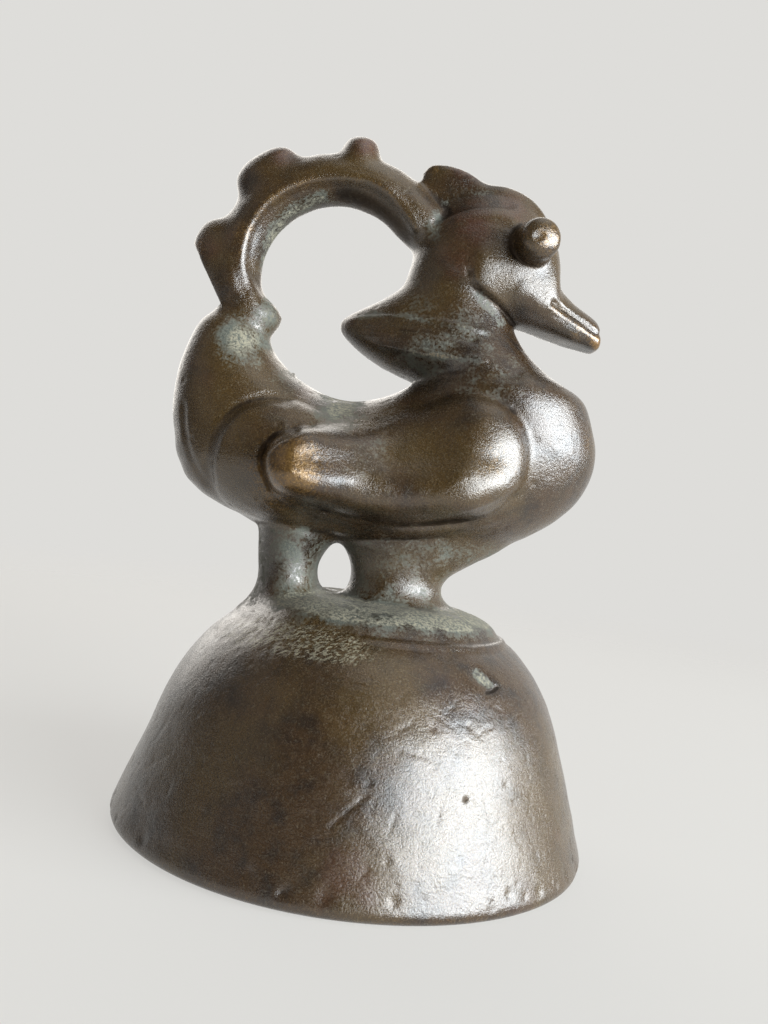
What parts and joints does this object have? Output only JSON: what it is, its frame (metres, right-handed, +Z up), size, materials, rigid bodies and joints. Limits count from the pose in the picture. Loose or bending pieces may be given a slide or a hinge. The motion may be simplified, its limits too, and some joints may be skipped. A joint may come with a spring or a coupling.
{
  "type": "figural balance weight",
  "caption": "Cast bronze balance weight: a duck-like bird with raised wings, peg eyes and a ring handle from tail to crest, standing on two legs on a domed base.",
  "frame": {"origin": "middle of the base's underside, on the plane that the weight stands on", "axes": "+Z up, +X the way the bird looks, +Y to the bird's left"},
  "size_m": [0.046, 0.046, 0.0685],
  "materials": {
    "bronze": "dark brown patina, polished by handling, with verdigris in the hollows and worn golden high spots"
  },
  "bodies": {
    "root": {"base_dome": "bronze", "plinth": "bronze", "rear_leg": "bronze", "front_leg": "bronze", "body": "bronze", "breast": "bronze", "tail": "bronze", "neck": "bronze", "nape_tuft": "bronze", "head": "bronze", "bill": "bronze", "crest": "bronze", "left_eye": "bronze", "right_eye": "bronze", "left_wing": "bronze", "right_wing": "bronze", "left_rump_lobe": "bronze", "right_rump_lobe": "bronze", "left_flank_bead": "bronze", "right_flank_bead": "bronze", "handle_foot": "bronze", "handle_arch": "bronze", "handle_root": "bronze", "front_knob": "bronze", "middle_knob": "bronze", "rear_knob": "bronze"}
  },
  "joints": []
}
